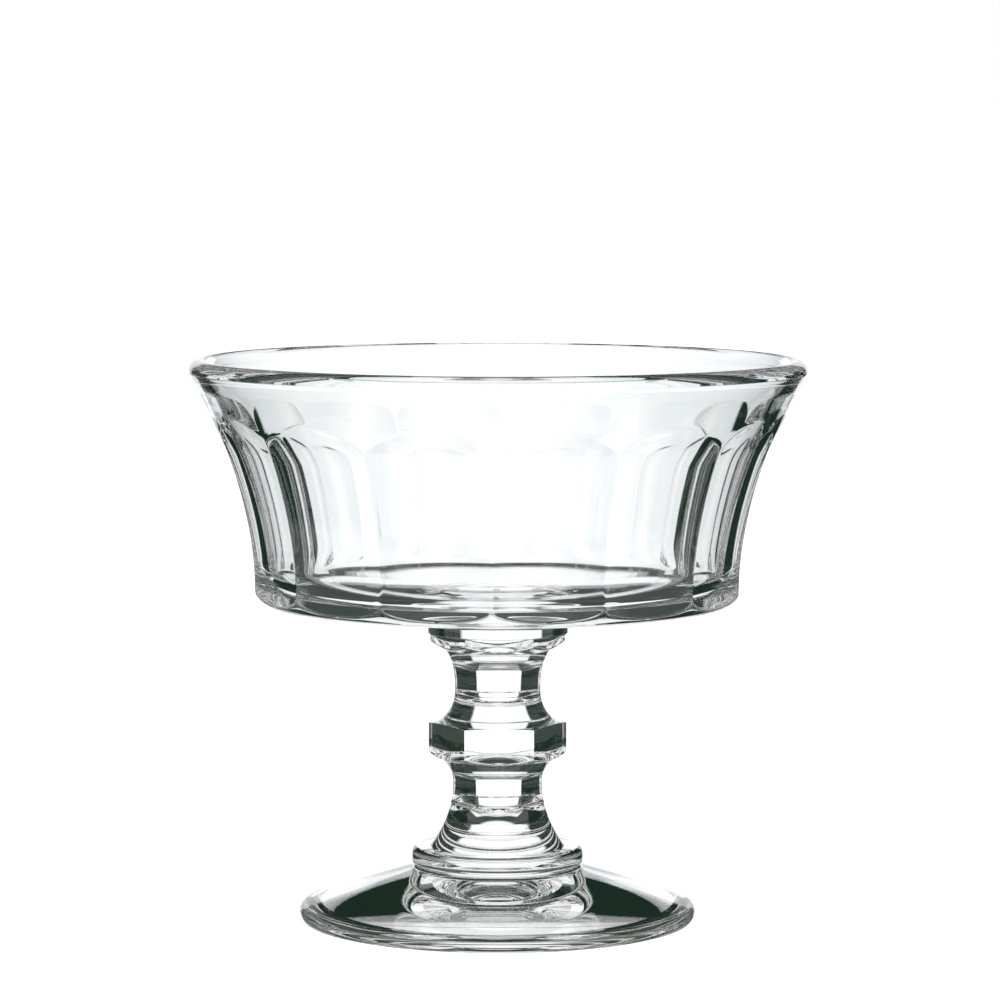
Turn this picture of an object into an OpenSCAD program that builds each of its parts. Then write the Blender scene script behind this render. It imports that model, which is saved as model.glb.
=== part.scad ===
// Footed dessert glass in clear pressed glass.
// A wide flared bowl with flat flutes stands on a short six-sided stem and a round domed foot.
// The axis of the glass is Z, the origin is on the table under it, and one flat of the stem faces -Y.
// Each gather of glass is a solid of its own, and each seats flat on the one below it.

/* [Bowl] */
// Width across the lip
lip_d = 110; // [102:1:124]
// Height of the bowl from its seat on the stem to the top of the lip
bowl_h = 46.3; // [42:1:60]
// Width of the bowl at its heel, where the flare starts
heel_d = 87.8; // [78:0.2:92]
// Radius of the round under the heel
heel_round = 3.9; // [3.5:0.1:6]
// How far the underside rises from its seat on the stem out to the heel
underside_rise = 2.6; // [0.6:0.2:3]
// Share of the flare that comes late: 1 is a straight cone, 2 opens mostly at the top
flare_power = 1.8; // [1.1:0.02:2.2]
// Thickness of glass under the middle of the bowl's floor
base_t = 5; // [4.2:0.1:13]
// Thickness of the wall over the heel, measured at a ridge
wall_low = 4.4; // [3.4:0.1:6]
// Thickness of the wall under the lip
wall_high = 3.8; // [2.8:0.1:5]
// Radius of the round between the floor and the wall inside
floor_round = 6; // [2:0.5:7]

/* [Lip] */
// How far the lip stands out past the flare
lip_step = 1; // [0.6:0.1:3]
// Height of the slope under the lip
lip_slope_h = 1.8; // [1:0.1:5]
// Height of the upright band of the lip
lip_band_h = 0.2; // [0.1:0.1:2.5]
// Height of the rounded top of the lip
lip_top_h = 2.1; // [1:0.1:2.5]

/* [Flutes] */
// Number of flat flutes round the bowl
flute_count = 14; // [10:1:18]
// Distance from the top of the lip down to the top of the flutes' arches
flute_drop = 9.5; // [7.5:0.1:14]
// Height of the arch at the top of each flute
arch_h = 6.9; // [3:0.1:9]

/* [Stem] */
// Width of the round seat that the merese offers the bowl
merese_d = 25.2; // [23:0.2:28]
// Height of the merese, from the stem to the bowl
merese_h = 5.7; // [4.8:0.1:8]
// Height of the merese's round seat, over its six-sided part
merese_seat_h = 2.7; // [1.5:0.1:3]
// Width of the merese's six-sided part across its corners
merese_flats_d = 24.2; // [22.6:0.2:25]
// Height of the slope under the merese
merese_slope_h = 1.5; // [0.6:0.1:1.8]
// Width of the upper stem where it meets the merese
upper_head_d = 18.8; // [16:0.2:19.4]
// Width of the upper stem at its waist
upper_waist_d = 15.3; // [12:0.1:16.5]
// Width of the upper stem where it meets the knop
upper_tail_d = 21.2; // [17:0.2:21.2]
// Length of the upper stem
upper_stem_h = 13.0; // [9:0.1:24]
// Distance from the merese down to the upper stem's flats
upper_flats_drop = 2.2; // [1.4:0.1:3]
// Distance from the knop up to the upper stem's flats
upper_flats_rise = 4.6; // [3:0.1:5]
// Width of the knop across its corners
knop_d = 24.7; // [24.6:0.1:28]
// Height of the knop
knop_h = 6.6; // [4.5:0.1:9]
// Fall of the knop's top from the stem to its corners
knop_shoulder_h = 0.2; // [0.1:0.1:1]
// Height of the slope under the knop
knop_slope_h = 1.0; // [0.5:0.1:2]
// Width of the lower stem where it meets the knop
lower_head_d = 20.2; // [17:0.2:21.2]
// Width of the lower stem at its waist
lower_waist_d = 15.9; // [12:0.1:16.5]
// Width of the lower stem where it meets the collar
lower_tail_d = 24; // [18:0.2:25]
// Length of the lower stem
lower_stem_h = 15.8; // [11.4:0.1:26]
// Distance from the knop down to the lower stem's flats
lower_flats_drop = 2.2; // [1.4:0.1:3]
// Distance from the collar up to the lower stem's flats
lower_flats_rise = 7.6; // [5:0.1:8]
// Height of the arches at both ends of the stem's flats
stem_arch_h = 0.6; // [0.3:0.1:0.7]

/* [Foot] */
// Width of the round collar between stem and foot
collar_d = 30.7; // [27:0.2:34]
// Height of the collar
collar_h = 2.9; // [2:0.1:5]
// Radius of the round on the top of the collar
collar_round = 1.3; // [0.4:0.1:1.8]
// Width of the foot
foot_d = 71; // [60:0.5:84]
// Height of the foot up to the collar
foot_h = 10.2; // [8:0.1:14]
// Width of the foot's neck under the collar
foot_neck_d = 29.6; // [26:0.2:33]
// Radius of the hollow curve between the foot's neck and its slope
foot_cove_r = 1.2; // [1:0.1:3]
// Height of the foot's slope at its outer edge
foot_edge_h = 3.0; // [2:0.1:4.5]
// Width of the ring that the glass stands on, from one side of its track to the other
ring_w = 3; // [1:0.1:4]
// Distance of that ring in from the edge of the foot
ring_inset = 0.9; // [0.5:0.1:4]
// Height of the hollow under the middle of the foot
kick_h = 5.7; // [0.5:0.1:6.2]
// Form of that hollow: 1 is a cone, 2 a round bowl
kick_power = 1.45; // [1.2:0.05:2.4]

/* [Hidden] */

// Smoothness of the round pieces
$fn = 168;
// Straight steps in each long curve of an outline
curve_steps = 10;
// Straight steps in each short round of an outline
round_steps = 6;
// How far a cut or a blank runs past what it shapes
overrun = 2;
// Thickness of the wall across the lip
lip_wall = 3.9;
// Number of sides of the stem
side_count = 6;
// Width of a flat over its share of the way round: over 1, so that neighbours meet in a ridge, on the
// bowl, and under 1, so that a narrow strip of the round stays between them, on the stem
flute_w_share = 1.04;
upper_flats_w_share = 0.94;
lower_flats_w_share = 0.97;
// How far the two ends of a flat run out past the skin
run_out = 0.03;
// Straight steps of the stem's round body beside its flats, and how far they keep from the arches
strip_steps = 7;
arch_gap = 0.1;
// Turn of the flutes against the flats of the stem, in degrees, as the hot bowl was set down
flute_turn = -2.8;
// Places of the waists, as shares of the length of their stem, from below
upper_waist_share = 0.48;
lower_waist_share = 0.7;
// How late each stretch of stem leaves its waist: 2 is a plain bow, more is a straighter shank
shank_power = 2.5;
lower_tail_power = 1.9;

// Heights of the seats, from the table up
collar_z = foot_h;
lower_stem_z = collar_z + collar_h;
knop_z = lower_stem_z + lower_stem_h;
upper_stem_z = knop_z + knop_h;
merese_z = upper_stem_z + upper_stem_h;
bowl_z = merese_z + merese_h;
top_z = bowl_z + bowl_h;

// Bowl: heights and radii that follow from its sizes
heel_z = bowl_z + underside_rise;
flare_z = heel_z + heel_round;
heel_r = heel_d / 2;
lip_r = lip_d / 2;
throat_r = lip_r - lip_step;
band_top_z = top_z - lip_top_h;
throat_z = band_top_z - lip_band_h - lip_slope_h;
floor_z = bowl_z + base_t;
arch_top_z = top_z - flute_drop;

// Outer radius of the bowl's ridges at height z, round the heel and up the flare
function body_r(z) = z < flare_z
    ? heel_r - heel_round + sqrt(pow(heel_round, 2) - pow(flare_z - z, 2))
    : heel_r + (throat_r - heel_r) * pow((z - flare_z) / (throat_z - flare_z), flare_power);

// Radius of the bowl's inside at height z
function inner_r(z) = body_r(z) - wall_low
    + (wall_low - wall_high) * (z - flare_z) / (throat_z - flare_z);

// Points evenly spread from a to b
function steps(a, b, n) = [for (i = [0 : n]) a + (b - a) * i / n];

// Points round an ellipse, for the angles from a to b
function arc(centre, half_w, half_h, a, b) =
    [for (t = steps(a, b, round_steps)) centre + [half_w * cos(t), half_h * sin(t)]];

// Outline of the bowl, from the axis at its seat, out and over the lip and down to the floor
floor_round_z = floor_z + floor_round;
bowl_outline = concat(
    [[0, bowl_z], [merese_d / 2, bowl_z]],
    arc([heel_r - heel_round, flare_z], heel_round, heel_round, -90, 0),
    [for (z = steps(flare_z, throat_z, curve_steps)) if (z > flare_z) [body_r(z), z]],
    [[lip_r, throat_z + lip_slope_h]],
    arc([lip_r - lip_wall / 2, band_top_z], lip_wall / 2, lip_top_h, 0, 180),
    [for (z = steps(throat_z, floor_round_z, curve_steps)) [inner_r(z), z]],
    [for (p = arc([inner_r(floor_round_z) - floor_round, floor_round_z], floor_round, floor_round, 0, -90))
        if (p[1] < floor_round_z) p],
    [[0, floor_z]]
);

// Side view of the cutter for one flat of a round body, from the bottom of its lower arch to the top of
// its upper one. radius_at gives the body's radius at a height, and w_share is the flat's half width as
// a share of that radius. The flat closes up along the two arches.
function flat_side(radius_at, w_share, low_z, low_arch_h, top_arch_h, top_z) =
    let (
        full_low_z = low_z + low_arch_h,
        full_top_z = top_z - top_arch_h,
        flat_r = function (z, fullness) radius_at(z) * sqrt(1 - pow(w_share * fullness, 2)),
        turns = [for (i = [0 : round_steps - 1]) 90 * i / round_steps]
    )
    concat(
        [[radius_at(low_z) + run_out, low_z]],
        [for (i = [round_steps - 1 : -1 : 0])
            let (z = full_low_z - low_arch_h * sin(turns[i])) [flat_r(z, cos(turns[i])), z]],
        [for (i = [1 : curve_steps - 1])
            let (z = full_low_z + (full_top_z - full_low_z) * i / curve_steps) [flat_r(z, 1), z]],
        [for (t = turns) let (z = full_top_z + top_arch_h * sin(t)) [flat_r(z, cos(t)), z]],
        [[radius_at(top_z) + run_out, top_z]]
    );

// The glass that pressing takes away for a ring of flats, the first one facing turn degrees from +X
module pressed_flats(count, turn, side, body_r_max) {
    reach_r = body_r_max + overrun;
    for (i = [0 : count - 1])
        rotate(turn + i * 360 / count)
            rotate([90, 0, 0])
                linear_extrude(height = 2 * reach_r * tan(180 / count), center = true)
                    polygon(concat(side, [
                        [reach_r, side[len(side) - 1][1]],
                        [reach_r, side[0][1]]
                    ]));
}

// Flared bowl with a rounded lip and flat flutes. Each ends in an arch above, and below it runs out
// through the round of the heel, which leaves a scallop.
module bowl() {
    half_pitch = 180 / flute_count;
    flute_side = flat_side(function (z) body_r(max(z, flare_z)), sin(half_pitch) * flute_w_share,
        heel_z, 0, arch_h, arch_top_z);
    color([0.88, 0.93, 0.92])
        difference() {
            rotate_extrude() polygon(bowl_outline);
            pressed_flats(flute_count, flute_turn - 90 + half_pitch, flute_side, lip_r);
        }
}

// A six-sided prism with two flats facing along Y
module hexagon(corner_d, low_z, top_z) {
    translate([0, 0, low_z])
        cylinder(h = top_z - low_z, d = corner_d, $fn = side_count);
}

// Six-sided disc with a slope below, under the round seat that carries the bowl
module merese() {
    seat_z = bowl_z - merese_seat_h;
    flats_h = seat_z - merese_z;
    slope_growth_d = (merese_flats_d - upper_head_d) * flats_h / merese_slope_h;
    color([0.80, 0.88, 0.86])
        union() {
            intersection() {
                hexagon(merese_flats_d, merese_z, seat_z);
                translate([0, 0, merese_z])
                    cylinder(h = flats_h, d1 = upper_head_d, d2 = upper_head_d + slope_growth_d);
            }
            translate([0, 0, seat_z])
                cylinder(h = merese_seat_h, d = merese_d);
        }
}

// Radius at height z of a stretch of stem, from its heights and radii at tail, waist and head
function waisted_r(z, heights, radii, tail_power) =
    let (up = z > heights[1], end = up ? 2 : 0)
    radii[1] + (radii[end] - radii[1])
        * pow((z - heights[1]) / (heights[end] - heights[1]), up ? shank_power : tail_power);

// Round waisted stretch of stem with six pressed flats that end in arches
module stretch(heights, radii, tail_power, w_share, flats_rise, flats_drop) {
    flats_z = heights[0] + flats_rise;
    flats_top_z = heights[2] - flats_drop;
    strip_inset = stem_arch_h + arch_gap;
    rows = concat(
        steps(heights[0], flats_z - arch_gap, curve_steps),
        steps(flats_z + strip_inset, flats_top_z - strip_inset, strip_steps),
        steps(flats_top_z + arch_gap, heights[2], curve_steps)
    );
    side = flat_side(function (z) waisted_r(z, heights, radii, tail_power),
        sin(180 / side_count) * w_share, flats_z, stem_arch_h, stem_arch_h, flats_top_z);
    difference() {
        rotate_extrude()
            polygon(concat(
                [[0, heights[0]]],
                [for (z = rows) [waisted_r(z, heights, radii, tail_power), z]],
                [[0, heights[2]]]
            ));
        pressed_flats(side_count, 180 / side_count, side, max(radii));
    }
}

// Waisted stretch of stem between merese and knop
module upper_stem() {
    color([0.84, 0.91, 0.90])
        stretch([upper_stem_z, upper_stem_z + upper_stem_h * upper_waist_share, merese_z],
            [upper_tail_d, upper_waist_d, upper_head_d] / 2, shank_power,
            upper_flats_w_share, upper_flats_rise, upper_flats_drop);
}

// Six-sided knop in the middle of the stem, sloped below and a little above
module knop() {
    slope_growth_d = (knop_d - lower_head_d) * knop_h / knop_slope_h;
    shoulder_growth_d = (knop_d - upper_tail_d) * knop_h / knop_shoulder_h;
    color([0.78, 0.86, 0.84])
        intersection() {
            hexagon(knop_d, knop_z, upper_stem_z);
            translate([0, 0, knop_z])
                cylinder(h = knop_h, d1 = lower_head_d, d2 = lower_head_d + slope_growth_d);
            translate([0, 0, knop_z])
                cylinder(h = knop_h, d1 = upper_tail_d + shoulder_growth_d, d2 = upper_tail_d);
        }
}

// Waisted stretch of stem that spreads down to the collar
module lower_stem() {
    color([0.84, 0.91, 0.90])
        stretch([lower_stem_z, lower_stem_z + lower_stem_h * lower_waist_share, knop_z],
            [lower_tail_d, lower_waist_d, lower_head_d] / 2, lower_tail_power,
            lower_flats_w_share, lower_flats_rise, lower_flats_drop);
}

// Round collar with a rounded top edge
module foot_collar() {
    color([0.78, 0.86, 0.84])
        rotate_extrude()
            polygon(concat(
                [[0, collar_z], [collar_d / 2, collar_z]],
                arc([collar_d / 2 - collar_round, lower_stem_z - collar_round],
                    collar_round, collar_round, 0, 90),
                [[0, lower_stem_z]]
            ));
}

// Foot: neck, hollow curve, gentle slope, rounded edge, standing ring and a hollow below
foot_r = foot_d / 2;
ring_out_r = foot_r - ring_inset;
ring_in_r = ring_out_r - ring_w;
edge_mid_h = foot_edge_h / 2;
edge_top_r = foot_r - edge_mid_h;
foot_neck_r = foot_neck_d / 2;
foot_slope_deg = atan2(foot_h - foot_cove_r - foot_edge_h, edge_top_r - foot_neck_r - foot_cove_r / 2);
foot_outline = concat(
    [for (r = steps(0, ring_in_r, curve_steps)) [r, kick_h * (1 - pow(r / ring_in_r, kick_power))]],
    arc([ring_out_r, edge_mid_h], foot_r - ring_out_r, edge_mid_h, -90, 0),
    [for (p = arc([edge_top_r, edge_mid_h], edge_mid_h, edge_mid_h, 0, 90 - foot_slope_deg))
        if (p[1] > edge_mid_h) p],
    [for (t = steps(90 - foot_slope_deg, 0, round_steps))
        [foot_neck_r + foot_cove_r * (1 - cos(t)), foot_h - foot_cove_r * sin(t)]],
    [[0, foot_h]]
);

// Round foot that the glass stands on
module foot() {
    color([0.88, 0.93, 0.92])
        rotate_extrude() polygon(foot_outline);
}

bowl();
merese();
upper_stem();
knop();
lower_stem();
foot_collar();
foot();
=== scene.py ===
# %% [markdown]
# # A footed dessert glass in clear pressed glass
# The real glass is built up from gathers of hot glass: a wide bowl, a short six-sided stem and a round foot.
# Each gather is pressed in a mould, seated on the next one and polished by fire, which softens its edges.
# This lesson makes each gather as a mesh of its own around the construction model, and gives it a glass
# that bends light. The construction model is loaded first, because every size and height comes from it.

# %% Load the frame
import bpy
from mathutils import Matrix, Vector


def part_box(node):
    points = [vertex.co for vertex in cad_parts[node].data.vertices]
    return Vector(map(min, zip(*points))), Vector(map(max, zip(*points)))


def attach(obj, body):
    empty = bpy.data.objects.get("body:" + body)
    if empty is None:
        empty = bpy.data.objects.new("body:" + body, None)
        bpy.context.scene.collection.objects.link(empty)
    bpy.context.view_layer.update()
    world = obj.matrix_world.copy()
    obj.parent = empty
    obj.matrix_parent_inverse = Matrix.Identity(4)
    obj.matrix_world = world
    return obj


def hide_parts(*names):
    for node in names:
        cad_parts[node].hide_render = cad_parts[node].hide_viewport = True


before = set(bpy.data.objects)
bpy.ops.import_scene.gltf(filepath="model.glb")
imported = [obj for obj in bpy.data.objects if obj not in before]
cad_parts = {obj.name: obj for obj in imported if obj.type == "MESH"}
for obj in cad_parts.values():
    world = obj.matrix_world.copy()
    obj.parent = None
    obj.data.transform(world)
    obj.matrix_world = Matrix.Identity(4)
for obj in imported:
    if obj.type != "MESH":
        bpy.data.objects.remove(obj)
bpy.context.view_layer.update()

# %% Tools and units
import math

import bmesh
import bpy
from mathutils import Matrix, Vector

MM = 0.001
UP = Vector((0, 0, 1))
TINY = 0.001 * MM
scene = bpy.context.scene
print("pieces in the frame:", sorted(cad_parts))

# %% [markdown]
# ## Heights and widths
# Every gather seats on the one below it, so the heights of the seats are the lowest points of the nodes.
# The widths come from the same boxes. The corners of the knop lie on X, because two of its flats face
# along Y, and so the box gives its width across the corners.

# %% Read the heights and widths of the seats
def node_span(node):
    """Lowest height, highest height and half width along X of a node of the frame."""
    low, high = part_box(node)
    return low.z, high.z, min(high.x, -low.x)


foot_z, collar_z, foot_r = node_span("foot")
collar_r = node_span("foot_collar")[2]
lower_stem_z, knop_z, lower_tail_r = node_span("lower_stem")
upper_stem_z, merese_z, upper_tail_r = node_span("upper_stem")
knop_r = node_span("knop")[2]
bowl_z, merese_r = node_span("merese")[1:]
top_z, lip_r = node_span("bowl")[1:]
seats = (collar_z, lower_stem_z, knop_z, upper_stem_z, merese_z, bowl_z)
print("seats at", [round(z / MM, 2) for z in seats], "mm, top at", round(top_z / MM, 2), "mm")


# %% [markdown]
# ## Outlines
# A piece of glass is drawn as half of its section, a chain of points from the axis and back to it, and
# spun. Long curves are formulas and short rounds are arcs, so an outline can be as fine as the light
# needs: in glass, every flat step would show as a stripe. The last number of each stretch says in how
# many steps it is drawn.

# %% Helpers that draw an outline
def steps(start, end, count):
    """Values spread evenly from start to end."""
    return [start + (end - start) * i / count for i in range(count + 1)]


def line(start, end, count=1):
    """Points along a straight line, without its first one."""
    return list(zip(steps(start[0], end[0], count), steps(start[1], end[1], count)))[1:]


def arc(centre, half_w, half_h, start, end, count=8):
    """Points round an ellipse between two angles in degrees, without the first one."""
    angles = [math.radians(a) for a in steps(start, end, count)][1:]
    return [(centre[0] + half_w * math.cos(a), centre[1] + half_h * math.sin(a)) for a in angles]


# %% [markdown]
# ## The bowl's section
# The bowl opens late: its wall starts upright over the heel and flares most under the lip. One power of
# the height draws that. The lip is a band that stands out past the flare and is round on top. Inside,
# the wall is smooth, a little thicker below, and a wide round takes it into the flat floor.

# %% Sizes of the bowl
underside_rise = 2.6 * MM
heel_r = 43.9 * MM
heel_round = 3.9 * MM
flare_power = 1.8
base_t = 5 * MM
wall_low = 4.4 * MM
wall_high = 3.8 * MM
floor_round = 6 * MM
lip_step = 1 * MM
lip_slope_h = 1.8 * MM
lip_band_h = 0.2 * MM
lip_top_h = 2.1 * MM
lip_wall = 3.9 * MM

heel_z = bowl_z + underside_rise
flare_z = heel_z + heel_round
band_top_z = top_z - lip_top_h
band_z = band_top_z - lip_band_h
throat_z = band_z - lip_slope_h
throat_r = lip_r - lip_step
floor_z = bowl_z + base_t


def flare_share(z):
    """How far up the flare a height is, from 0 over the heel to 1 at the throat."""
    return (z - flare_z) / (throat_z - flare_z)


def body_radius(z):
    """Outer radius of the bowl before the flutes are pressed, round the heel and up the flare."""
    if z < flare_z:
        return heel_r - heel_round + math.sqrt(max(heel_round**2 - (flare_z - z) ** 2, 0))
    return heel_r + (throat_r - heel_r) * flare_share(z) ** flare_power


def inner_radius(z):
    """Radius of the bowl's inside."""
    return body_radius(z) - wall_low + (wall_low - wall_high) * flare_share(z)


# %% [markdown]
# ## The flutes' heights
# Fourteen flats run up the bowl. Each ends above in an arch. Below, it runs out through the round of the
# heel, which leaves a scallop. The outline gets a point at the top of the arches and one at the foot of
# the scallops, because later the rows of the mesh that pass there are slid onto the edges of the flutes.
# The front of the glass is at -90 degrees, and there the bowl was set down a little turned on its stem.

# %% Sizes of the flutes
flute_count = 14
front_angle = -90
bowl_skew = -2.8
flute_turn = math.radians(front_angle + bowl_skew)
flute_pitch = math.tau / flute_count
flute_overlap = 1.04
flute_drop = 9.5 * MM
arch_h = 6.9 * MM
flute_w_share = math.sin(flute_pitch / 2) * flute_overlap

arch_top_z = top_z - flute_drop
arch_z = arch_top_z - arch_h


def heel_height(radius):
    """Height at which the round of the heel reaches a radius."""
    return flare_z - math.sqrt(max(heel_round**2 - (radius - heel_r + heel_round) ** 2, 0))


scallop_z = heel_height(heel_r * math.sqrt(1 - flute_w_share**2))
print("arches end at", round(arch_top_z / MM, 1), "and scallops at", round(scallop_z / MM, 1), "mm")

# %% Draw the bowl's section
heel_centre = (heel_r - heel_round, flare_z)
scallop_angle = -math.degrees(math.asin((flare_z - scallop_z) / heel_round))
floor_top_z = floor_z + floor_round
floor_centre = (inner_radius(floor_top_z) - floor_round, floor_top_z)
lip_centre = (lip_r - lip_wall / 2, band_top_z)
bowl_outline = (
    [(0, bowl_z)]
    + line((0, bowl_z), (merese_r, bowl_z), 4)
    + line((merese_r, bowl_z), (heel_centre[0], heel_z), 12)
    + arc(heel_centre, heel_round, heel_round, -90, scallop_angle, 12)
    + arc(heel_centre, heel_round, heel_round, scallop_angle, 0, 8)
    + [(body_radius(z), z) for z in steps(flare_z, arch_top_z, 58)[1:]]
    + [(body_radius(z), z) for z in steps(arch_top_z, throat_z, 8)[1:]]
    + line((throat_r, throat_z), (lip_r, band_z), 6)
    + line((lip_r, band_z), (lip_r, band_top_z), 2)
    + arc(lip_centre, lip_wall / 2, lip_top_h, 0, 180, 24)
    + line((lip_r - lip_wall, band_top_z), (inner_radius(throat_z), throat_z), 6)
    + [(inner_radius(z), z) for z in steps(throat_z, floor_top_z, 48)[1:]]
    + arc(floor_centre, floor_round, floor_round, 0, -90, 12)
    + line((floor_centre[0], floor_z), (0, floor_z), 8)
)
print("bowl outline:", len(bowl_outline), "points")


# %% [markdown]
# ## Spinning
# Spin turns the outline once round the axis and merges its last column with its first. The points on the
# axis become one pole each when doubles are merged, and the normals are worked out again after that.
# Where two faces meet at more than a soft angle the edge is marked sharp, so a seat stays a clean edge.

# %% A closed piece from its outline
sharp_angle = math.radians(35)
merge_gap = TINY / 10


def draw_chain(bm, outline, angle=0.0):
    """Draws an outline upright in a bmesh, at an angle round the axis."""
    chain = [bm.verts.new((r * math.cos(angle), r * math.sin(angle), z)) for r, z in outline]
    return chain + [bm.edges.new(pair) for pair in zip(chain, chain[1:])]


def close_seams(bm):
    """Merges the points that meet at seams and poles, and turns all faces outwards."""
    bmesh.ops.remove_doubles(bm, verts=bm.verts, dist=merge_gap)
    bmesh.ops.recalc_face_normals(bm, faces=bm.faces)
    bm.normal_update()


def spin_outline(outline, columns):
    """Spins an outline once round the axis into a closed bmesh."""
    bm = bmesh.new()
    bmesh.ops.spin(bm, geom=draw_chain(bm, outline), cent=(0, 0, 0), axis=UP, angle=math.tau,
                   steps=columns, use_merge=True)
    close_seams(bm)
    return bm


def finish_piece(bm, name, node, *materials):
    """Makes the bmesh an object that rides on the glass and stands for its node of the frame."""
    for edge in bm.edges:
        edge.smooth = edge.calc_face_angle(0) < sharp_angle
    mesh = bpy.data.meshes.new(name)
    bm.to_mesh(mesh)
    bm.free()
    mesh.polygons.foreach_set("use_smooth", [True] * len(mesh.polygons))
    for material in materials:
        mesh.materials.append(material)
    piece = bpy.data.objects.new(name, mesh)
    scene.collection.objects.link(piece)
    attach(piece, "root")
    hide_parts(node)
    print(name, "has", len(mesh.polygons), "faces")


# %% [markdown]
# ## Pressing flats
# Seen from above, a flat is a straight line, and a point of the pressed bowl lies where the nearest flat
# or the round body is reached first. A soft minimum takes the smallest of those distances and rounds the
# edge between two of them, which is what the fire polish does to the real glass. A flat that faces far off
# from the point is never reached, and is left out.

# %% Distance from the axis to the nearest flat
far_off = math.radians(80)


def soft_min(distances, softness):
    """The smallest of some distances, rounded where two of them meet."""
    nearest = min(distances)
    total = sum(math.exp((nearest - d) / softness) for d in distances)
    return nearest - softness * math.log(total)


def flat_distances(angle, count, turn, apothem):
    """Distances from the axis, along an angle, to those of the nearest three flats that face it."""
    pitch = math.tau / count
    off = (angle - turn + pitch / 2) % pitch - pitch / 2
    offs = [off - pitch, off, off + pitch]
    return [apothem / math.cos(o) for o in offs if abs(o) < far_off]


# %% [markdown]
# ## Rows and columns that follow the flutes
# A clean edge needs mesh edges that run along it. So the columns are drawn together at the ridges, the
# row at the top of the arches is slid down onto their line, and the row at the foot of the scallops is
# slid up onto theirs. The rows near them move along by a share, and the rest of the wall stays.

# %% Slide the rows and columns and press a flute
ridge_gather = 0.62
ridge_soft = 0.05 * MM
arch_slide_h = 5 * MM
scallop_slide_h = 6 * MM


def fullness(z):
    """How much of its full width a flute has at height z, from 0 to 1."""
    return math.sqrt(max(1 - max((z - arch_z) / arch_h, 0) ** 2, 0))


def slide(z, row_z, line_z, low_z, high_z):
    """Moves a height so that row_z lands on line_z, while low_z and high_z stay."""
    if not low_z < z < high_z:
        return z
    share = (z - low_z) / (row_z - low_z) if z < row_z else (high_z - z) / (high_z - row_z)
    return z + (line_z - row_z) * share


def press_point(angle, z):
    """Where a point of the outer wall goes: its radius and height under the flutes."""
    off = ((angle - flute_turn) % flute_pitch) - flute_pitch / 2
    rise = math.sqrt(max(1 - (math.sin(off) / flute_w_share) ** 2, 0))
    z = slide(z, arch_top_z, arch_z + arch_h * rise, arch_z - arch_slide_h, throat_z)
    heel_flat_r = heel_r * math.sqrt(1 - flute_w_share**2) / math.cos(off)
    z = slide(z, scallop_z, heel_height(heel_flat_r), heel_z, scallop_z + scallop_slide_h)
    wide_r = body_radius(max(z, flare_z))
    apothem = wide_r * math.sqrt(1 - (flute_w_share * fullness(z)) ** 2)
    flats = flat_distances(angle, flute_count, flute_turn + flute_pitch / 2, apothem)
    return soft_min(flats + [body_radius(z)], ridge_soft), z


def press_flute(bm):
    """Draws the columns together at the ridges and presses the outer wall."""
    for v in bm.verts:
        radius, z = v.co.xy.length, v.co.z
        if radius < TINY:
            continue
        angle = math.atan2(v.co.y, v.co.x)
        place = ((angle - flute_turn) / flute_pitch) % 1
        angle -= ridge_gather * math.sin(math.tau * place) / math.tau * flute_pitch
        on_wall = heel_z + TINY < z < throat_z - TINY
        if on_wall and radius > (body_radius(z) + inner_radius(z)) / 2:
            radius, z = press_point(angle, z)
        v.co = (radius * math.cos(angle), radius * math.sin(angle), z)


# %% [markdown]
# ## The look of the glass
# The glass is clear with a faint green in its thickness, and its pressed skin is a little uneven. The
# skin is a node group, because every gather has it at a scale of its own. Where two gathers are sealed
# the real glass has no skin, so the two faces there get a material that light passes straight through.

# %% Node group for the pressed skin
def add_math(tree, operation, *values):
    """The output of a new Math node of a tree, whose inputs are numbers or sockets."""
    node = tree.nodes.new("ShaderNodeMath")
    node.operation = operation
    for socket, value in zip(node.inputs, values):
        if isinstance(value, bpy.types.NodeSocket):
            tree.links.new(value, socket)
        else:
            socket.default_value = value
    return node.outputs[0]


def make_skin_group():
    """Normal of a skin with soft ripples: a larger scale brings them closer together."""
    group = bpy.data.node_groups.new("pressed_skin", "ShaderNodeTree")
    for name in ("Ripple scale", "Ripple height"):
        group.interface.new_socket(name, in_out="INPUT", socket_type="NodeSocketFloat")
    group.interface.new_socket("Normal", in_out="OUTPUT", socket_type="NodeSocketVector")
    nodes, links = group.nodes, group.links
    inputs = nodes.new("NodeGroupInput")
    outputs = nodes.new("NodeGroupOutput")
    place = nodes.new("ShaderNodeTexCoord")
    ripple = nodes.new("ShaderNodeTexNoise")
    ripple.inputs["Detail"].default_value = 1
    bump = nodes.new("ShaderNodeBump")
    links.new(place.outputs["Object"], ripple.inputs["Vector"])
    links.new(inputs.outputs["Ripple scale"], ripple.inputs["Scale"])
    height = add_math(group, "MULTIPLY", ripple.outputs["Fac"], inputs.outputs["Ripple height"])
    links.new(height, bump.inputs["Height"])
    links.new(bump.outputs["Normal"], outputs.inputs["Normal"])
    return group


skin_group = make_skin_group()

# %% Glass of one gather, and the seal between two
glass_tint = (0.98, 0.988, 0.985)
glass_bend = 1.52
wide_ripples = 90
close_ripples = 160
bowl_ripple_h = 0.004 * MM
stem_ripple_h = 0.002 * MM


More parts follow.
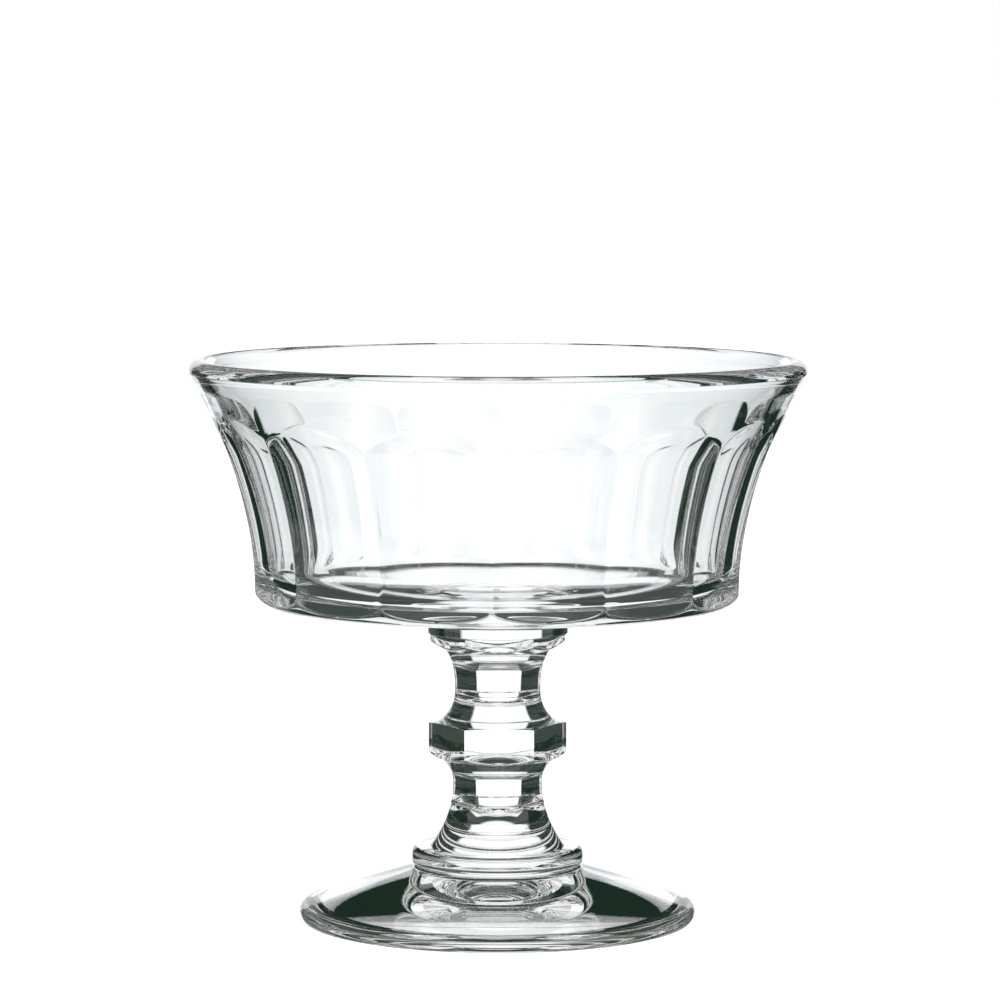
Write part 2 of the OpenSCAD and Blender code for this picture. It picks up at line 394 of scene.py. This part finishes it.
def make_glass(name, ripple_scale, ripple_height):
    """Clear glass with its pressed skin."""
    material = bpy.data.materials.new(name)
    material.use_nodes = True
    nodes, links = material.node_tree.nodes, material.node_tree.links
    shader = nodes["Principled BSDF"]
    shader.inputs["Base Color"].default_value = (*glass_tint, 1)
    shader.inputs["Roughness"].default_value = 0
    shader.inputs["Transmission Weight"].default_value = 1
    shader.inputs["IOR"].default_value = glass_bend
    skin = nodes.new("ShaderNodeGroup")
    skin.node_tree = skin_group
    skin.inputs["Ripple scale"].default_value = ripple_scale
    skin.inputs["Ripple height"].default_value = ripple_height
    links.new(skin.outputs["Normal"], shader.inputs["Normal"])
    return material


def make_seal():
    """A surface that light passes straight through."""
    material = bpy.data.materials.new("hot_seal")
    material.use_nodes = True
    shader = material.node_tree.nodes["Principled BSDF"]
    shader.inputs["Alpha"].default_value = 0
    return material


bowl_glass = make_glass("bowl_glass", wide_ripples, bowl_ripple_h)
stem_glass = make_glass("stem_glass", close_ripples, stem_ripple_h)
foot_glass = make_glass("foot_glass", wide_ripples, bowl_ripple_h)
hot_seal = make_seal()
print("ripples are about", round(1000 / wide_ripples), "and", round(1000 / close_ripples), "mm wide")

# %% [markdown]
# ## Making the bowl
# One flute's share of the bowl is spun and pressed, and then repeated round the axis. The level faces
# of its underside, where it sits on the merese, are the seal.

# %% Seals
nearly_level = 0.99


def seal(bm, seat_z, seat_r):
    """Gives the seal's material, the second one, to the level faces of a seat out to a radius."""
    for face in bm.faces:
        middle = face.calc_center_median()
        level = abs(middle.z - seat_z) < TINY and abs(face.normal.z) > nearly_level
        if level and middle.xy.length < seat_r:
            face.material_index = 1


# %% Spin, press, repeat and seal the bowl
columns_per_flute = 32
bowl_bm = bmesh.new()
bowl_chain = draw_chain(bowl_bm, bowl_outline, flute_turn)
bmesh.ops.spin(bowl_bm, geom=bowl_chain, cent=(0, 0, 0), axis=UP, angle=flute_pitch,
               steps=columns_per_flute)
press_flute(bowl_bm)
one_flute = bowl_bm.verts[:] + bowl_bm.edges[:] + bowl_bm.faces[:]
bmesh.ops.spin(bowl_bm, geom=one_flute, cent=(0, 0, 0), axis=UP, angle=math.tau - flute_pitch,
               steps=flute_count - 1, use_duplicate=True)
close_seams(bowl_bm)
seal(bowl_bm, bowl_z, merese_r)
finish_piece(bowl_bm, "bowl_gather", "bowl", bowl_glass, hot_seal)

# %% [markdown]
# ## Six-sided pieces
# The stem is made as the bowl is: each piece is spun as a round body, and its points are then pressed in
# to six flats. The flats run from end to end of the knop, which has a slope turned below, like a nut.

# %% A spun piece of stem with pressed flats
side_count = 6
side_turn = math.pi / side_count
columns_per_side = 36
corner_soft = 0.05 * MM


def press_stem(bm, apothem_at):
    """Presses a spun piece in to six flats, which lie apothem_at(radius, z) from the axis."""
    for v in bm.verts:
        radius, angle = v.co.xy.length, math.atan2(v.co.y, v.co.x)
        apothem = apothem_at(radius, v.co.z)
        if apothem > 0:
            flats = flat_distances(angle, side_count, side_turn, apothem)
            v.co.xy *= soft_min(flats + [radius], corner_soft) / radius
    bm.normal_update()


def stem_piece(name, node, outline, apothem_at):
    """Spins, presses and seals a piece of stem that stands between two level seats."""
    bm = spin_outline(outline, side_count * columns_per_side)
    press_stem(bm, apothem_at)
    for _, seat_z in (outline[0], outline[-1]):
        seal(bm, seat_z, knop_r)
    finish_piece(bm, name, node, stem_glass, hot_seal)


# %% [markdown]
# ## The merese and the knop
# The merese carries the bowl on a round seat over its six-sided part. The knop sits between the two
# stretches of stem. A slope that runs on past the corners is drawn, and the flats cut it back, which
# leaves the curved edges that a turned and pressed piece has.

# %% Make the merese and the knop
merese_flats_r = 12.1 * MM
merese_seat_h = 2.7 * MM
merese_slope_h = 1.5 * MM
upper_head_r = 9.4 * MM
lower_head_r = 10.1 * MM
knop_slope_h = 1.0 * MM
knop_shoulder_h = 0.2 * MM
seat_edge_r = 0.2 * MM
seat_edge_start = -100
past_corner = 1.03
slope_rows = 14


def slope_up(low, corner_r, height):
    """Rows of a slope from its low end, out past the corners by a share, as steep as it starts."""
    reach = (corner_r * past_corner - low[0]) / (corner_r - low[0])
    return line(low, (corner_r * past_corner, low[1] + height * reach), slope_rows)


merese_seat_z = bowl_z - merese_seat_h
seat_edge_centre = (merese_r - seat_edge_r, merese_seat_z + seat_edge_r)
merese_slope = slope_up((upper_head_r, merese_z), merese_flats_r, merese_slope_h)
merese_outline = (
    [(0, merese_z), (upper_head_r, merese_z)]
    + merese_slope
    + line(merese_slope[-1], (merese_slope[-1][0], merese_seat_z), 4)
    + arc(seat_edge_centre, seat_edge_r, seat_edge_r, seat_edge_start, 0, 6)
    + line((merese_r, seat_edge_centre[1]), (merese_r, bowl_z), 4)
    + [(0, bowl_z)]
)


def merese_apothem(radius, z):
    """The merese has flats up to its round seat."""
    return merese_flats_r * math.cos(side_turn) if radius > TINY and z < merese_seat_z + TINY else 0


stem_piece("merese_gather", "merese", merese_outline, merese_apothem)

knop_slope = slope_up((lower_head_r, knop_z), knop_r, knop_slope_h)
knop_shoulder = slope_up((upper_tail_r, upper_stem_z), knop_r, -knop_shoulder_h)
knop_outline = (
    [(0, knop_z), (lower_head_r, knop_z)]
    + knop_slope
    + line(knop_slope[-1], knop_shoulder[-1], 8)
    + knop_shoulder[-2::-1]
    + [(upper_tail_r, upper_stem_z), (0, upper_stem_z)]
)


def knop_apothem(radius, z):
    """The knop has flats at every height."""
    return knop_r * math.cos(side_turn) if radius > TINY else 0


stem_piece("knop_gather", "knop", knop_outline, knop_apothem)

# %% [markdown]
# ## The two stretches of stem
# Each stretch is drawn in to a waist and spreads to its two ends. A power of the distance from the waist
# draws that: the higher the power, the longer the shank stays slim. Its flats close up in short arches,
# and a narrow strip of the round is left between them. The rows lie close together at the arches.

# %% Sizes of the two stretches
upper_waist_r = 7.65 * MM
lower_waist_r = 7.95 * MM
upper_waist_share = 0.48
lower_waist_share = 0.7
shank_power = 2.5
lower_tail_power = 1.9
upper_flats_drop = 2.2 * MM
upper_flats_rise = 4.6 * MM
lower_flats_drop = 2.2 * MM
lower_flats_rise = 7.6 * MM
upper_flats_w_share = 0.94
lower_flats_w_share = 0.97
stem_arch_h = 0.6 * MM
stretch_rows = (30, 8, 20, 8, 16)


def stretch(name, node, heights, radii, tail_power, w_share, flats_rise, flats_drop):
    """Makes a stretch of stem from its heights and radii at tail, waist and head."""
    low_z, waist_z, high_z = heights
    flats_low_z, flats_top_z = low_z + flats_rise, high_z - flats_drop
    full_low_z, full_top_z = flats_low_z + stem_arch_h, flats_top_z - stem_arch_h

    def waisted_r(z):
        """Radius of the round body, which grows from the waist to both ends."""
        end, power = (2, shank_power) if z > waist_z else (0, tail_power)
        reach = (z - waist_z) / (heights[end] - waist_z)
        return radii[1] + (radii[end] - radii[1]) * reach**power

    def apothem_at(radius, z):
        """The flats narrow to nothing in an arch at both ends."""
        share = max((z - full_top_z) / stem_arch_h, (full_low_z - z) / stem_arch_h, 0)
        if share >= 1:
            return 0
        return radius * math.sqrt(1 - (math.sin(side_turn) * w_share) ** 2 * (1 - share**2))

    marks = (low_z, flats_low_z, full_low_z, full_top_z, flats_top_z, high_z)
    rows = [low_z]
    for start, end, count in zip(marks, marks[1:], stretch_rows):
        rows += steps(start, end, count)[1:]
    outline = [(0, low_z)] + [(waisted_r(z), z) for z in rows] + [(0, high_z)]
    stem_piece(name, node, outline, apothem_at)


# %% Make the two stretches
stretch(
    "upper_shank", "upper_stem",
    (upper_stem_z, upper_stem_z + (merese_z - upper_stem_z) * upper_waist_share, merese_z),
    (upper_tail_r, upper_waist_r, upper_head_r), shank_power,
    upper_flats_w_share, upper_flats_rise, upper_flats_drop)
stretch(
    "lower_shank", "lower_stem",
    (lower_stem_z, lower_stem_z + (knop_z - lower_stem_z) * lower_waist_share, knop_z),
    (lower_tail_r, lower_waist_r, lower_head_r), lower_tail_power,
    lower_flats_w_share, lower_flats_rise, lower_flats_drop)

# %% [markdown]
# ## The collar and the foot
# Below the stem the glass is round again. The collar is a flat ring with a round top edge, and the foot
# falls from it in a short hollow curve and a gentle slope to a rounded edge. It stands on a narrow ring
# round a deep hollow, so that a rough table can't rock the glass.

# %% Sizes of the collar and the foot
collar_round = 1.3 * MM
collar_under_round = 0.4 * MM
foot_neck_r = 14.8 * MM
foot_cove_r = 1.2 * MM
foot_edge_h = 3 * MM
ring_inset = 0.9 * MM
ring_w = 3 * MM
kick_h = 5.7 * MM
kick_power = 1.45

ring_out_r = foot_r - ring_inset
ring_in_r = ring_out_r - ring_w
edge_mid_h = foot_edge_h / 2
edge_top = (foot_r - edge_mid_h, edge_mid_h)
slope_rise = collar_z - foot_cove_r - foot_edge_h
slope = math.atan2(slope_rise, edge_top[0] - foot_neck_r - foot_cove_r / 2)
collar_flat_r = collar_r - collar_under_round


def foot_hollow(r):
    """Height of the hollow under the foot."""
    return kick_h * (1 - (r / ring_in_r) ** kick_power)


def foot_cove(angle):
    """A point of the hollow curve between the foot's neck and its slope."""
    return (foot_neck_r + foot_cove_r * (1 - math.cos(angle)), collar_z - foot_cove_r * math.sin(angle))


# %% Make the collar and the foot
round_columns = 224
under_centre = (collar_flat_r, collar_z + collar_under_round)
rim_centre = (collar_r - collar_round, lower_stem_z - collar_round)
collar_outline = (
    [(0, collar_z), (foot_neck_r, collar_z), (collar_flat_r, collar_z)]
    + arc(under_centre, collar_under_round, collar_under_round, -90, 0, 6)
    + line((collar_r, under_centre[1]), (collar_r, rim_centre[1]), 2)
    + arc(rim_centre, collar_round, collar_round, 0, 90, 14)
    + line((rim_centre[0], lower_stem_z), (lower_tail_r, lower_stem_z), 4)
    + line((lower_tail_r, lower_stem_z), (0, lower_stem_z), 3)
)
collar_bm = spin_outline(collar_outline, round_columns)
seal(collar_bm, lower_stem_z, lower_tail_r)
seal(collar_bm, collar_z, foot_neck_r)
finish_piece(collar_bm, "collar_ring", "foot_collar", stem_glass, hot_seal)

slope_end = foot_cove(math.pi / 2 - slope)
edge_arc = arc(edge_top, edge_mid_h, edge_mid_h, 0, 90 - math.degrees(slope), 10)
foot_outline = (
    [(r, foot_hollow(r)) for r in steps(0, ring_in_r, 26)]
    + line((ring_in_r, 0), (ring_out_r, 0), 2)
    + arc((ring_out_r, edge_mid_h), ring_inset, edge_mid_h, -90, 0, 10)
    + edge_arc
    + line(edge_arc[-1], slope_end, 20)
    + [foot_cove(a) for a in steps(math.pi / 2 - slope, 0, 10)[1:]]
    + line((foot_neck_r, collar_z), (0, collar_z), 2)
)
foot_bm = spin_outline(foot_outline, round_columns)
seal(foot_bm, collar_z, foot_neck_r)
finish_piece(foot_bm, "foot_disc", "foot", foot_glass, hot_seal)


# %% [markdown]
# ## The floor
# The floor is plain and white. Only the camera sees it: seen through the glass, a floor without an end
# would fill the foot with white, and the real foot shows the dark of the room.

# %% Floor
floor_half_w = 20_000 * MM
floor_drop = 0.01 * MM
floor_grey = 0.9


def make_floor():
    """A wide white sheet just under the glass, as a part of the studio."""
    bm = bmesh.new()
    bmesh.ops.create_grid(bm, x_segments=1, y_segments=1, size=floor_half_w)
    bmesh.ops.translate(bm, verts=bm.verts, vec=(0, 0, -floor_drop))
    mesh = bpy.data.meshes.new("floor")
    bm.to_mesh(mesh)
    bm.free()
    material = bpy.data.materials.new("white_floor")
    material.use_nodes = True
    shader = material.node_tree.nodes["Principled BSDF"]
    shader.inputs["Base Color"].default_value = (floor_grey, floor_grey, floor_grey, 1)
    shader.inputs["Roughness"].default_value = 1
    shader.inputs["Emission Color"].default_value = (1, 1, 1, 1)
    shader.inputs["Emission Strength"].default_value = 1
    mesh.materials.append(material)
    piece = bpy.data.objects.new("floor", mesh)
    scene.collection.objects.link(piece)
    return piece


floor = make_floor()
floor.visible_transmission = False
floor.visible_glossy = False
floor.visible_diffuse = False
floor.visible_shadow = False

# %% [markdown]
# ## The studio
# Clear glass has no colour of its own to show: it is drawn by what stands round it. A white panel behind
# the glass makes it bright, and the dark room at the sides of that panel gives the glass its dark edges.
# Panels at the sides and behind the camera put light on the slopes and keep the glass clear from other
# sides. All are patches of the world, which stays where it is when the camera moves, and each is given by
# how far it lies to the side, both ways, and how high. The camera itself sees a plain white backdrop.

# %% Node group for a panel of the studio
panel_angles = ("From", "To", "Low", "High", "Soft")
panel_sides = (("Turn", "From"), ("To", "Turn"), ("Rise", "Low"), ("High", "Rise"))


def make_panel_group():
    """Mask of a panel, from angles in degrees: how far to the side and how high a direction points."""
    group = bpy.data.node_groups.new("studio_panel", "ShaderNodeTree")
    for name in ("Turn", "Rise", *panel_angles):
        group.interface.new_socket(name, in_out="INPUT", socket_type="NodeSocketFloat")
    group.interface.new_socket("Mask", in_out="OUTPUT", socket_type="NodeSocketFloat")
    inputs = group.nodes.new("NodeGroupInput")
    outputs = group.nodes.new("NodeGroupOutput")
    mask = 1
    for first, second in panel_sides:
        gap = add_math(group, "SUBTRACT", inputs.outputs[first], inputs.outputs[second])
        share = add_math(group, "DIVIDE", gap, inputs.outputs["Soft"])
        share.node.use_clamp = True
        mask = add_math(group, "MULTIPLY", mask, share)
    group.links.new(mask, outputs.inputs["Mask"])
    return group


panel_group = make_panel_group()

# %% Panels and the dark of the room
# Each panel has its turn from and to, its rise from and to and the softness of its edge, all in degrees,
# and its colour. A turn of 0 lies straight behind the glass, and one of 180 straight behind the camera.
room_dark = (0.012, 0.026, 0.018)
under_glass = (-5, 185, -95, -72, 4, (1, 1, 1))
behind_camera = (100, 185, -28, 48, 4, (1, 1, 1))
beside_glass = (79, 101, -24, 2, 2, (0.9, 0.9, 0.9))
behind_glass = (-5, 20, -95, 14, 2, (1.06, 1.09, 1.12))
middle_of_that = (-5, 7, -95, 14, 6, (1.22, 1.22, 1.22))
low_behind_camera = (130, 185, -60, -26, 4, (1.02, 1, 0.96))
panels = (under_glass, behind_camera, beside_glass, behind_glass, middle_of_that, low_behind_camera)


def mix_colours(tree, factor, base, over):
    """The output of a new Mix node of a tree, from a colour's socket to a plain colour."""
    node = tree.nodes.new("ShaderNodeMix")
    node.data_type = "RGBA"
    tree.links.new(factor, node.inputs["Factor"])
    tree.links.new(base, node.inputs["A"])
    node.inputs["B"].default_value = (*over, 1)
    return node.outputs["Result"]


def make_studio():
    """World of panels in a dark room, behind a white backdrop that only the camera sees."""
    world = bpy.data.worlds.new("studio")
    world.use_nodes = True
    tree = world.node_tree
    direction = tree.nodes.new("ShaderNodeTexCoord")
    split = tree.nodes.new("ShaderNodeSeparateXYZ")
    tree.links.new(direction.outputs["Generated"], split.inputs[0])
    sideways = add_math(tree, "ARCTAN2", split.outputs["X"], split.outputs["Y"])
    turn = add_math(tree, "DEGREES", add_math(tree, "ABSOLUTE", sideways))
    rise = add_math(tree, "DEGREES", add_math(tree, "ARCSINE", split.outputs["Z"]))
    colour = tree.nodes.new("ShaderNodeRGB").outputs[0]
    colour.default_value = (*room_dark, 1)
    for *angles, light in panels:
        mask = tree.nodes.new("ShaderNodeGroup")
        mask.node_tree = panel_group
        tree.links.new(turn, mask.inputs["Turn"])
        tree.links.new(rise, mask.inputs["Rise"])
        for name, angle in zip(panel_angles, angles):
            mask.inputs[name].default_value = angle
        colour = mix_colours(tree, mask.outputs["Mask"], colour, light)
    seen = tree.nodes.new("ShaderNodeLightPath").outputs["Is Camera Ray"]
    shown = mix_colours(tree, seen, colour, (1, 1, 1))
    tree.links.new(shown, tree.nodes["Background"].inputs["Color"])
    return world


scene.world = make_studio()
print("the studio has", len(panels), "panels")

# %% [markdown]
# ## The camera
# The photograph is taken with a long lens from a little above the table. Light goes back and forth in the
# glass many times before it leaves, so it is followed for more bounces than usual.

# %% Camera
camera_distance = 800 * MM
camera_height = 145.8 * MM
camera_azimuth = math.radians(-1.5)
camera_pitch = math.radians(5.04)
camera_roll = math.radians(0.1)
camera_data = bpy.data.cameras.new("camera")
camera_data.lens = 162.2
camera_data.sensor_width = 36
camera_data.shift_x = 0.002
camera_data.clip_start = 10 * MM
camera = bpy.data.objects.new("camera", camera_data)
scene.collection.objects.link(camera)
camera_turn = (
    Matrix.Rotation(camera_azimuth, 4, "Z")
    @ Matrix.Rotation(math.pi / 2 - camera_pitch, 4, "X")
    @ Matrix.Rotation(camera_roll, 4, "Z")
)
stand = Vector((math.sin(camera_azimuth), -math.cos(camera_azimuth), 0)) * camera_distance
stand.z = camera_height
camera.matrix_world = Matrix.Translation(stand) @ camera_turn
scene.camera = camera
scene.view_settings.view_transform = "Standard"
scene.cycles.max_bounces = 40
scene.cycles.glossy_bounces = 24
scene.cycles.transmission_bounces = 40
scene.cycles.transparent_max_bounces = 64
